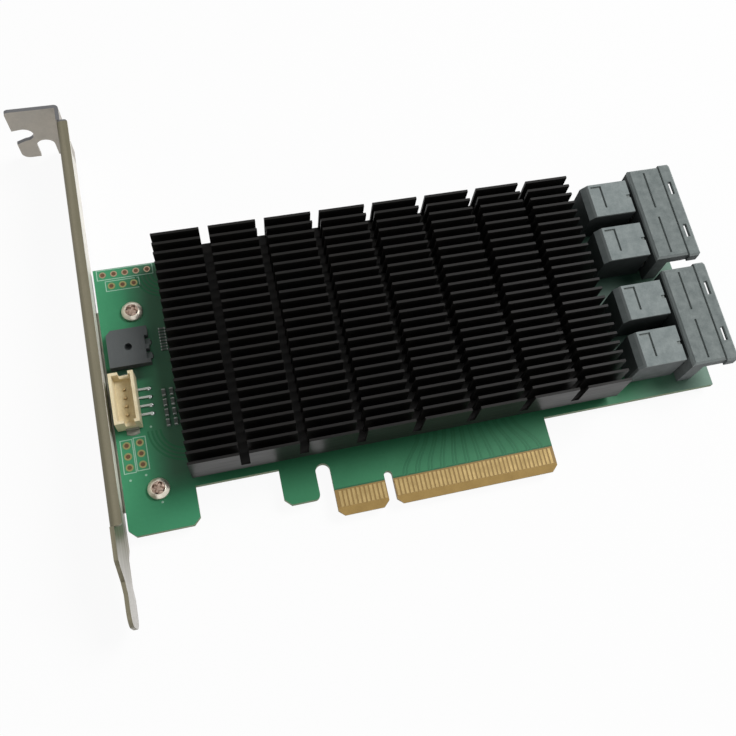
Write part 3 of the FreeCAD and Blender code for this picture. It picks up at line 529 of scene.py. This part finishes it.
def make_solder_mask():
    """Green mask, paler at the bracket end, greyer beside the heat sink as painted shade, deep green
    elsewhere, a painted sheen at the port end, painted shadow among the ports and between the buzzer and the
    header, with bare laminate on the tongue below the mask and on sawn edges."""
    material = new_finish(
        "solder_mask", (0.053, 0.276, 0.138), (0.043, 0.228, 0.112), (0.40, 0.52), shine=0.2, cloud=45.0,
        grain=1400.0, amount=0.7, bump=0.012)
    painted_shade_grey = (0.054, 0.150, 0.088)
    port_sheen_grey = (0.150, 0.215, 0.185)
    port_shadow_dark = (0.016, 0.052, 0.034)
    buzzer_shadow_dark = (0.012, 0.032, 0.020)
    border_green = (0.028, 0.125, 0.060)
    laminate_tan = (0.31, 0.198, 0.070)
    bevel_tan = (0.42, 0.278, 0.096)
    tree, shader, bracket_end_green = finish_parts(material)
    axes, facing = place_and_facing(tree)
    x, y = axes["X"], axes["Y"]
    deep = mottled(tree, (0.041, 0.216, 0.101), (0.033, 0.178, 0.083), cloud=45.0, grain=1400.0, amount=0.7)
    # Painted shade beside the heat sink
    beside_sink = together(tree, ramp(tree, x, *GREY_FROM_BRACKET), ramp(tree, y, *GREY_FROM_EDGE))
    past_bracket_end = ramp(tree, x, *DEEP_FROM_BRACKET_END)
    # Painted sheen at the port end
    port_end = ramp(tree, x, *PALE_PORT_END, high=PALE_SHARE)
    # Painted shadow among the ports
    among_ports = together(
        tree, ramp(tree, x, *DARK_FROM_SINK), ramp(tree, x, *DARK_TO_SHROUD, low=1.0, high=0.0),
        ramp(tree, y, *DARK_FROM_EDGE))
    header_end = box_mm("fan_header_housing")[1][1]
    buzzer_start = box_mm("buzzer_housing")[0][1]
    # Painted shadow between the buzzer and the header
    buzzer_shadow = together(
        tree, ramp(tree, y, header_end - BUZZER_SHADOW_FADE, header_end),
        ramp(tree, y, buzzer_start, buzzer_start + BUZZER_SHADOW_FADE, low=1.0, high=0.0),
        ramp(tree, x, *BUZZER_SHADOW_SIDE, low=BUZZER_SHADOW_SHARE, high=0.0))
    component_face = layered(
        tree, bracket_end_green, (beside_sink, painted_shade_grey), (past_bracket_end, deep), (port_end, port_sheen_grey),
        (among_ports, port_shadow_dark), (buzzer_shadow, buzzer_shadow_dark))
    faces_up = math_node(tree, "GREATER_THAN", facing["Z"], FACING)
    both_faces = mix_colour(tree, faces_up, deep, component_face)
    across_tongue = together(
        tree, past(tree, x, TONGUE_LEFT - TONGUE_MARGIN), before(tree, x, TONGUE_RIGHT + TONGUE_MARGIN))
    border = together(tree, before(tree, y, MASK_EDGE + BORDER_WIDTH), across_tongue)
    tongue = together(tree, before(tree, y, MASK_EDGE), across_tongue)
    upright = math_node(tree, "LESS_THAN", math_node(tree, "ABSOLUTE", facing["Z"]), FACING)
    tan = mix_colour(tree, before(tree, y, BEVEL_EDGE), laminate_tan, bevel_tan)
    laminate = mottled(tree, tan, (0.29, 0.185, 0.06), cloud=300.0, grain=4000.0, amount=0.7)
    sawn = mottled(tree, (0.10, 0.20, 0.085), (0.20, 0.19, 0.07), cloud=500.0, grain=5000.0, amount=0.8)
    finished = layered(tree, both_faces, (border, border_green), (upright, sawn), (tongue, laminate))
    tree.links.new(finished, shader.inputs["Base Color"])


# Where the bracket is painted pale as painted light, in millimetres, and the metallic share outside and
# inside
PALE_BESIDE_BOARD = (7.0, 13.0)
PALE_ON_TAIL = (-6.0, 3.0)
BRACKET_METAL = 0.55
PALE_METAL = 0.10


def make_bracket_steel():
    """Olive-plated steel, rolled along its length, painted pale as painted light on the faces towards the
    board and below it, on the tail and beside the board, and grey on the slotted tab, painted paler as
    painted light, with darker upward rims.
    """
    material = new_finish(
        "bracket_steel", (0.250, 0.226, 0.160), (0.128, 0.118, 0.076), (0.34, 0.50), metal=BRACKET_METAL,
        cloud=60.0, amount=0.4, bump=0.003, squeeze=(1.0, 0.03, 1.0), streak_scale=650.0)
    # Painted light: the tail painted pale grey and the plate's inside beside the board painted cream
    tail_grey = (0.45, 0.43, 0.40)
    plate_cream = (0.90, 0.87, 0.79)
    rim_grey = (0.15, 0.15, 0.155)
    tree, shader, rolled = finish_parts(material)
    axes, facing = place_and_facing(tree)
    faces_board = math_node(tree, "GREATER_THAN", facing["X"], FACING)
    under_board = before(tree, axes["Z"], BOARD_TOP)
    beside = ramp(tree, axes["Y"], *PALE_BESIDE_BOARD)
    tail = ramp(tree, axes["Y"], *PALE_ON_TAIL, low=1.0, high=0.0)
    inner = math_node(tree, "MAXIMUM", faces_board, under_board)
    lit_inside = together(tree, inner, math_node(tree, "MAXIMUM", beside, tail))
    cream = mix_colour(tree, beside, tail_grey, plate_cream)
    pale = mottled(tree, cream, (0.60, 0.58, 0.54), cloud=150.0, grain=2500.0, amount=0.6)
    tab = past(tree, axes["Y"], TAB_FOLD)
    off_tab = math_node(tree, "SUBTRACT", lit_inside, together(tree, lit_inside, tab))
    dulled = math_node(tree, "MULTIPLY", off_tab, BRACKET_METAL - PALE_METAL)
    tree.links.new(math_node(tree, "SUBTRACT", BRACKET_METAL, dulled), shader.inputs["Metallic"])
    # Tab painted a paler grey as painted light
    tab_grey = mottled(tree, (0.47, 0.43, 0.37), (0.36, 0.34, 0.31), cloud=110.0, grain=2500.0, amount=0.7)
    rim = math_node(tree, "GREATER_THAN", facing["Z"], FACING)
    tab_colour = mix_colour(tree, rim, tab_grey, rim_grey)
    tree.links.new(layered(tree, rolled, (lit_inside, pale), (tab, tab_colour)), shader.inputs["Base Color"])


# How much less rough the outer face is than the sawn fins
SATIN_SMOOTHER = 0.10


def make_black_anodised():
    """Black anodised aluminium, its sawn fins darker than the satin outer face of the extrusion."""
    material = new_finish(
        "black_anodised", (0.009, 0.009, 0.009), (0.014, 0.013, 0.012), (0.38, 0.50), shine=0.1, cloud=200.0,
        amount=0.8, bump=0.004, squeeze=(0.05, 1.0, 1.0), streak_scale=2600.0)
    tree, shader, sawn = finish_parts(material)
    axes, facing = place_and_facing(tree)
    faces_out = math_node(tree, "LESS_THAN", facing["Y"], -FACING)
    outer = together(tree, faces_out, before(tree, axes["Y"], SINK_FRONT))
    satin = mottled(tree, (0.024, 0.023, 0.022), (0.016, 0.015, 0.015), cloud=120.0, grain=2500.0, amount=0.7)
    tree.links.new(mix_colour(tree, outer, sawn, satin), shader.inputs["Base Color"])
    sawn_rough = shader.inputs["Roughness"].links[0].from_socket
    smoother = math_node(tree, "MULTIPLY", outer, SATIN_SMOOTHER)
    tree.links.new(math_node(tree, "SUBTRACT", sawn_rough, smoother), shader.inputs["Roughness"])


# Height in millimetres above which the header's pins stand upright
PIN_BEND = 0.8


def make_header_tin():
    """Tin on the header's tails, turning to stained brass on the upright pins."""
    material = new_finish(
        "header_tin", (0.48, 0.51, 0.48), (0.36, 0.39, 0.37), (0.30, 0.44), metal=0.5, cloud=600.0)
    brass = (0.56, 0.42, 0.22)
    tree, shader, tin = finish_parts(material)
    axes, _ = place_and_facing(tree)
    upright = past(tree, axes["Z"], PIN_BEND)
    tree.links.new(mix_colour(tree, upright, tin, brass), shader.inputs["Base Color"])


make_solder_mask()
make_bracket_steel()
make_black_anodised()
make_slate_plastic()
make_header_tin()
new_finish("gold", (0.35, 0.258, 0.115), (0.29, 0.208, 0.086), (0.56, 0.68), metal=0.8, cloud=400.0)
new_finish("screw_nickel", (0.76, 0.71, 0.61), (0.60, 0.53, 0.44), (0.28, 0.40), metal=0.85, cloud=700.0)
# Painted shade in the screws' recesses, its pale patches painted glints
new_finish("recess_shade_nickel", (0.32, 0.22, 0.17), (0.66, 0.54, 0.46), (0.34, 0.46), metal=0.7, cloud=1500.0)
new_finish("package_green", (0.04, 0.18, 0.09), (0.03, 0.13, 0.07), (0.4, 0.55))
new_finish("lid_nickel", (0.55, 0.55, 0.55), (0.45, 0.45, 0.44), (0.3, 0.4), metal=1.0)
new_finish("thermal_grey", (0.35, 0.37, 0.40), (0.30, 0.31, 0.33), (0.7, 0.85))
new_finish(
    "buzzer_grey", (0.104, 0.113, 0.116), (0.080, 0.088, 0.090), (0.50, 0.62), shine=0.12, bump=0.02)
new_finish(
    "ivory_plastic", (0.82, 0.73, 0.51), (0.62, 0.51, 0.30), (0.40, 0.52), cloud=420.0, amount=0.8,
    bump=0.01)
new_finish("chip_black", (0.022, 0.022, 0.023), (0.034, 0.034, 0.035), (0.5, 0.62), bump=0.01)
new_finish("chip_grey", (0.120, 0.145, 0.130), (0.080, 0.100, 0.090), (0.5, 0.62), cloud=900.0)
new_finish("ferrite_grey", (0.14, 0.14, 0.15), (0.10, 0.10, 0.11), (0.6, 0.75), bump=0.03)
new_finish("silk_ink", (0.36, 0.55, 0.44), (0.25, 0.46, 0.34), (0.55, 0.7), cloud=800.0)
new_finish("trace_green", (0.032, 0.178, 0.083), (0.027, 0.150, 0.070), (0.40, 0.52), shine=0.2)
new_finish("pad_gold", (0.32, 0.31, 0.14), (0.26, 0.22, 0.09), (0.34, 0.46), metal=0.6, cloud=700.0)
new_finish("pad_solder", (0.42, 0.32, 0.22), (0.33, 0.23, 0.15), (0.3, 0.4), metal=0.6, cloud=900.0)
new_finish("hole_shade", (0.150, 0.075, 0.038), (0.100, 0.050, 0.026), (0.5, 0.7))
new_finish("solder", (0.50, 0.52, 0.51), (0.38, 0.40, 0.39), (0.20, 0.34), metal=1.0, cloud=900.0)
new_finish("dull_tin", (0.075, 0.088, 0.084), (0.05, 0.06, 0.056), (0.4, 0.5), metal=0.5, cloud=900.0)
new_finish("tab_tin", (0.30, 0.30, 0.255), (0.22, 0.22, 0.19), (0.45, 0.55), metal=0.25, cloud=900.0)
new_finish("chip_tin", (0.40, 0.43, 0.41), (0.26, 0.29, 0.27), (0.4, 0.5), metal=0.3, cloud=900.0)

# Nodes whose finish differs from the one that their slot names
OWN_FINISH = {
    "buzzer_terminals": "dull_tin",
    "chip_resistors": "chip_grey",
    "chip_capacitors": "chip_grey",
    "fan_header_pins": "header_tin",
    "fan_header_tabs": "tab_tin",
}
for entry in frame["record"]["subparts"]:
    skin = nodes[entry["node"]].data
    skin.materials.clear()
    skin.materials.append(finishes[OWN_FINISH.get(entry["node"], entry["material_slot"])])


# Pieces on the board

# Unfitted pin places: (first x, first y, step x, step y, count, pad radius, whether the pads are tinned)
PIN_STEP = 2.54
PIN_ROWS = [
    (-55.34, 67.42, PIN_STEP, 0.0, 5, 0.78, True),
    (-53.66, 64.38, PIN_STEP, 0.0, 3, 0.86, False),
    (-55.33, 25.11, 0.0, -PIN_STEP, 3, 0.86, False),
    (-52.46, 25.32, 0.0, -PIN_STEP, 3, 0.86, False),
]
PAD_INNER = 0.50
PAD_RISE = 0.05
PAD_BEVEL = 0.05
PRINT_RISE = 0.02
FRAME_WIDTH = 0.2


def pin_pads():
    """Plated rings on both faces with a dark well in each, and the printed frame round each row."""
    pads, tinned_pads, wells, frames = [], [], [], []
    for x0, y0, dx, dy, count, outer, tinned in PIN_ROWS:
        row_pads = tinned_pads if tinned else pads
        for index in range(count):
            x, y = x0 + dx * index, y0 + dy * index
            for level, up in ((BOARD_TOP, 1), (BOARD_UNDER, -1)):
                row_pads.append(washer(x, y, PAD_INNER, outer, PAD_RISE, PAD_BEVEL, level, up))
                wells.append(washer(x, y, 0.0, PAD_INNER, PRINT_RISE, 0.0, level, up))
        x1, y1 = x0 + dx * (count - 1), y0 + dy * (count - 1)
        left, right = min(x0, x1) - PIN_STEP / 2, max(x0, x1) + PIN_STEP / 2
        low, high = min(y0, y1) - PIN_STEP / 2, max(y0, y1) + PIN_STEP / 2
        corners = [(left, low), (right, low), (right, high), (left, high)]
        frames.append(ribbon(corners, FRAME_WIDTH, PRINT_RISE, BOARD_TOP, closed=True))
    piece("pin_pads", pads, "pad_gold")
    piece("tinned_pads", tinned_pads, "pad_solder")
    piece("pin_wells", wells, "hole_shade")
    piece("pin_frames", frames, "silk_ink")


# Paired tracks from the fingers, in millimetres; a pair closes by a share of its gap
TRACK_RISE = 0.02
LANE_FIRST = 3.5
LANE_END = 37.0
LANE_STEP = 3.0
LANE_WIDTH = 0.5
LANE_CLEAR = 0.1
PAIR_GAP = 0.8
PAIR_CLOSING = 0.3


def lane_traces():
    """Paired tracks that draw together from the fingers on both faces: x moves by a smoothstep of the way."""
    t = np.linspace(0, 1, 24)
    ease = t * t * (3 - 2 * t)
    low, high = box_mm("controller_package")
    start = MASK_EDGE + LANE_CLEAR
    # Each face: its level, which way the tracks rise, where they end, the x they draw to and how far
    component_face = (BOARD_TOP, 1, 15.6, 20.0, 0.32)
    solder_face = (BOARD_UNDER, -1, low[1] + 3.0, (low[0] + high[0]) / 2, 0.5)
    tracks = []
    for level, up, end, middle, pull in (component_face, solder_face):
        y = start + (end - start) * t
        for first in np.arange(LANE_FIRST, LANE_END, LANE_STEP):
            for offset in (0.0, PAIR_GAP):
                x = first + offset * (1 - PAIR_CLOSING * ease) + pull * (middle - first) * ease
                tracks.append(ribbon(np.stack([x, y], -1), LANE_WIDTH, up * TRACK_RISE, level))
    piece("lane_traces", tracks, "trace_green")


# Via dots and how far their grid stays inside the controller's box, in millimetres
VIA_STEP = 2.0
VIA_START = 4.0
VIA_STOP = 3.0
VIA_RADIUS = 0.28
VIA_BEVEL = 0.08
VIA_RISE = 0.03


def via_dots():
    """Low plated dots on the solder side, on a square grid under the controller."""
    low, high = box_mm("controller_package")
    first, last = low + VIA_START, high - VIA_STOP
    grid = np.meshgrid(np.arange(first[0], last[0], VIA_STEP), np.arange(first[1], last[1], VIA_STEP))
    places = np.stack(grid, -1).reshape(-1, 2)
    dots = [washer(x, y, 0.0, VIA_RADIUS, VIA_RISE, VIA_BEVEL, BOARD_UNDER, -1, 8) for x, y in places]
    piece("via_dots", dots, "pad_gold")


# Sets of curved tracks: (corner x, corner y, first radius, count)
ARC_SETS = [(-42.0, 66.0, 2.4, 5), (-42.5, 27.5, 5.2, 4)]
ARC_STEP = 0.9
ARC_WIDTH = 0.45


def side_traces():
    """Tracks on the bracket end: quarter circles about a corner of the heat sink, one outside the other."""
    turn = np.linspace(0, np.pi / 2, 20)
    tracks = []
    for corner_x, corner_y, start, count in ARC_SETS:
        for index in range(count):
            reach = start + ARC_STEP * index
            path = np.stack([corner_x - reach * np.cos(turn), corner_y - reach * np.sin(turn)], -1)
            tracks.append(ribbon(path, ARC_WIDTH, TRACK_RISE, BOARD_TOP))
    piece("side_traces", tracks, "trace_green")


# Printed dots, in millimetres
MARK_PLACES = [(-49.62, 28.49), (-55.52, 17.11), (-52.13, 17.70), (-49.56, 11.01)]
MARK_RADIUS = 0.26
MARK_BEVEL = 0.04


def silk_marks():
    """Small printed dots beside the pin places."""
    dots = [washer(x, y, 0.0, MARK_RADIUS, PRINT_RISE, MARK_BEVEL, segments=16) for x, y in MARK_PLACES]
    piece("silk_marks", dots, "silk_ink")


# Screw sizes in millimetres, apart from the heat sink screws' rim, which is a share of their rise
BRACKET_SCREW_RIM = 0.7
BRACKET_SCREW_SHANK = 1.45
SINK_SCREW_HEAD = 2.2
SINK_SCREW_RIM = 0.5
SINK_SCREW_SHANK = 1.2


def screws():
    """Cross-head screws: two in the board's bracket end, four in the solder side."""
    low, high = box_mm("bracket_screws")
    size = (high[0] - low[0]) / 2
    x = (low[0] + high[0]) / 2
    places = [(x, y) for y in (low[1] + size, high[1] - size)]
    head = {"seat": BOARD_TOP, "up": 1, "head": size, "rise": high[2], "rim": BRACKET_SCREW_RIM}
    pair = [screw_surface(x, y, shank=BRACKET_SCREW_SHANK, length=-low[2], **head) for x, y in places]
    recesses = [recess_surface(x, y, **head) for x, y in places]
    bracket_screws = piece("bracket_screw_detail", pair, "screw_nickel", True)
    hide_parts("bracket_screws")

    low, high = box_mm("heat_sink_screws")
    size = SINK_SCREW_HEAD
    rise = BOARD_UNDER - low[2]
    length = high[2] - BOARD_UNDER
    places = [(x, y) for x in (low[0] + size, high[0] - size) for y in (low[1] + size, high[1] - size)]
    head = {"seat": BOARD_UNDER, "up": -1, "head": size, "rise": rise, "rim": rise * SINK_SCREW_RIM}
    four = [screw_surface(x, y, shank=SINK_SCREW_SHANK, length=length, **head) for x, y in places]
    recesses += [recess_surface(x, y, **head) for x, y in places]
    sink_screws = piece("heat_sink_screw_detail", four, "screw_nickel", True)
    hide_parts("heat_sink_screws")
    # The recess plugs carry painted shade and painted glints
    piece("screw_recesses", recesses, "recess_shade_nickel", True)


# Half sizes of the solder at a pin, a tab and a terminal, and how far each sits in from the metal's end
PIN_JOINT = (0.75, 0.5, 0.42)
TAB_JOINT = (1.3, 0.6, 0.4)
TERMINAL_JOINT = (0.3, 0.6, 0.3)
PIN_INSET = 0.25
PIN_TAIL = 0.3
TAB_INSET = 0.3
TERMINAL_INSET = 0.8


def solder_joints():
    """Half-sunk pillows of solder at the header's tails and tabs and the buzzer's terminals."""
    low, high = box_mm("fan_header_pins")
    rows = np.linspace(low[1] + PIN_INSET, high[1] - PIN_INSET, 4)
    joints = [pillow((high[0] - PIN_TAIL, y, BOARD_TOP), PIN_JOINT) for y in rows]
    piece("solder_joints", joints, "solder", True)
    low, high = box_mm("fan_header_tabs")
    middle = (low[0] + high[0]) / 2
    rows = (low[1] + TAB_INSET, high[1] - TAB_INSET)
    piece("tab_joints", [pillow((middle, y, BOARD_TOP), TAB_JOINT) for y in rows], "tab_tin", True)
    low, high = box_mm("buzzer_terminals")
    rows = (low[1] + TERMINAL_INSET, high[1] - TERMINAL_INSET)
    fillets = [pillow((high[0], y, BOARD_TOP), TERMINAL_JOINT) for y in rows]
    piece("buzzer_joints", fillets, "dull_tin", True)


# Chip parts: (node, width, length, columns, rows, the axis that runs from end to end)
CHIP_SETS = [
    ("chip_capacitors", 0.8, 1.6, 2, 4, (0, 1)),
    ("chip_resistors", 1.5, 0.4, 1, 8, (1, 0)),
]
# Caps on the chips' ends, in millimetres; square is the power of the pillow
CAP_HALF = 0.13
CAP_INSET = 0.11
CAP_WRAP = 0.02
CAP_LIFT = 0.01
CAP_SQUARE = 0.2


def chip_ends():
    """Tinned ends of the chip parts: a soft-edged cap on both ends of every block."""
    caps = []
    for node, wide, long, columns, rows, end in CHIP_SETS:
        low, high = box_mm(node)
        half = np.array([wide / 2, long / 2])
        reach = np.where(end, CAP_HALF, half + CAP_WRAP)
        for x in np.linspace(low[0] + half[0], high[0] - half[0], columns):
            for y in np.linspace(low[1] + half[1], high[1] - half[1], rows):
                for side in (-1, 1):
                    shift = np.array(end) * side * (half - CAP_INSET)
                    centre = (x + shift[0], y + shift[1], high[2] / 2 + CAP_LIFT)
                    caps.append(pillow(centre, (*reach, high[2] / 2 + CAP_WRAP), square=CAP_SQUARE))
    piece("chip_ends", caps, "chip_tin", True)


# Spring blades in one row, and the heights of the slots and of the rows in a slot, in millimetres
BLADE_COUNT = 9
BLADE_PITCH = 0.75
BLADE_SIZE = np.array([3.6, 0.34, 0.25])
SLOT_FLOORS = (2.1, 5.2)
BLADE_LIFTS = (0.1, 1.25)


def port_blades():
    """Rows of spring blades in the card slots, from each rear block's face to inside the shroud's nose."""
    low, high = [], []
    for block in ("upper_a", "upper_b", "lower_a", "lower_b"):
        start, end = box_mm("port_block_" + block)
        y = (start[1] + end[1]) / 2 + (np.arange(BLADE_COUNT) - BLADE_COUNT // 2) * BLADE_PITCH
        for floor in SLOT_FLOORS:
            for lift in BLADE_LIFTS:
                near = np.stack([0 * y + end[0], y - BLADE_SIZE[1] / 2, 0 * y + floor + lift], -1)
                low.append(near)
                high.append(near + BLADE_SIZE)
    piece("port_blades", [bars(np.concatenate(low), np.concatenate(high))], "gold")


pin_pads()
lane_traces()
via_dots()
side_traces()
silk_marks()
screws()
solder_joints()
chip_ends()
port_blades()


# Studio

# Strength of the surround for diffuse light, the floor's own glow, and places in metres
AMBIENT = 0.16
FLOOR_GLOW = 0.94
FLOOR_SIDE = 3.0
PART_MIDDLE = (0.01, 0.04, 0.0)


def seen_directly(tree):
    """One where a ray comes from the camera, a mirror or a clear surface, nought for diffuse light."""
    rays = tree.nodes.new("ShaderNodeLightPath")
    mirrored = math_node(
        tree, "MAXIMUM", rays.outputs["Is Glossy Ray"], rays.outputs["Is Transmission Ray"])
    return math_node(tree, "MAXIMUM", rays.outputs["Is Camera Ray"], mirrored)


def make_floor():
    """Flat pale sheet under the part; the camera sees it nearly white with a faint shadow."""
    level = cad_box[0].z
    grid = np.linspace(-FLOOR_SIDE, FLOOR_SIDE, 2)
    x, y = np.meshgrid(grid, grid, indexing="ij")
    points = np.stack([x, y, 0 * x + level], -1).reshape(-1, 3)
    mesh = bpy.data.meshes.new("floor")
    mesh.from_pydata(points.tolist(), [], quads(2, 2).tolist())
    floor = bpy.data.objects.new("floor", mesh)
    bpy.context.scene.collection.objects.link(floor)
    material = bpy.data.materials.new("floor_white")
    material.use_nodes = True
    tree = material.node_tree
    output = tree.nodes["Material Output"]
    tree.nodes.remove(tree.nodes["Principled BSDF"])
    diffuse = tree.nodes.new("ShaderNodeBsdfDiffuse")
    diffuse.inputs["Color"].default_value = (0.8, 0.8, 0.8, 1)
    glow = tree.nodes.new("ShaderNodeEmission")
    glow.inputs["Strength"].default_value = 1.0
    share = math_node(tree, "MULTIPLY", seen_directly(tree), FLOOR_GLOW)
    mix = tree.nodes.new("ShaderNodeMixShader")
    tree.links.new(share, mix.inputs[0])
    tree.links.new(diffuse.outputs[0], mix.inputs[1])
    tree.links.new(glow.outputs[0], mix.inputs[2])
    tree.links.new(mix.outputs[0], output.inputs["Surface"])
    mesh.materials.append(material)


def make_world():
    """Even pale surround, white where it is seen directly or mirrored."""
    world = bpy.data.worlds.new("studio")
    bpy.context.scene.world = world
    world.use_nodes = True
    tree = world.node_tree
    back = tree.nodes["Background"]
    added = math_node(tree, "MULTIPLY", seen_directly(tree), 1.0 - AMBIENT)
    tree.links.new(math_node(tree, "ADD", added, AMBIENT), back.inputs["Strength"])
    back.inputs["Color"].default_value = (1, 1, 1, 1)


def add_softbox(name, place, size, watts):
    """Square area lamp turned towards the part."""
    lamp = bpy.data.lights.new(name, "AREA")
    lamp.size = size
    lamp.energy = watts
    obj = bpy.data.objects.new(name, lamp)
    obj.location = place
    obj.rotation_euler = (Vector(PART_MIDDLE) - Vector(place)).to_track_quat("-Z", "Y").to_euler()
    bpy.context.scene.collection.objects.link(obj)


def make_camera():
    """Camera at the photograph's place, from its right, down and forward axes in the part's frame."""
    right = (0.96151, -0.23506, 0.14229)
    down = (-0.17456, -0.92246, -0.34437)
    forward = (0.21220, 0.30628, -0.92799)
    place = (-0.031039, -0.039528, 0.206309)
    camera = bpy.data.cameras.new("camera")
    camera.sensor_width = 36.0
    camera.lens = 45.64
    camera.shift_x = -0.0897
    camera.shift_y = 0.0095
    camera.clip_start = 0.01
    obj = bpy.data.objects.new("camera", camera)
    axes = Matrix((right, [-c for c in down], [-c for c in forward])).transposed().to_4x4()
    obj.matrix_world = Matrix.Translation(place) @ axes
    bpy.context.scene.collection.objects.link(obj)
    bpy.context.scene.camera = obj


make_floor()
make_world()
add_softbox("key_softbox", (0.63, 0.27, 0.80), size=0.48, watts=10.4)
add_softbox("fill_softbox", (-0.30, -0.50, 0.40), size=0.6, watts=0.6)
make_camera()
bpy.context.scene.view_settings.view_transform = "Standard"
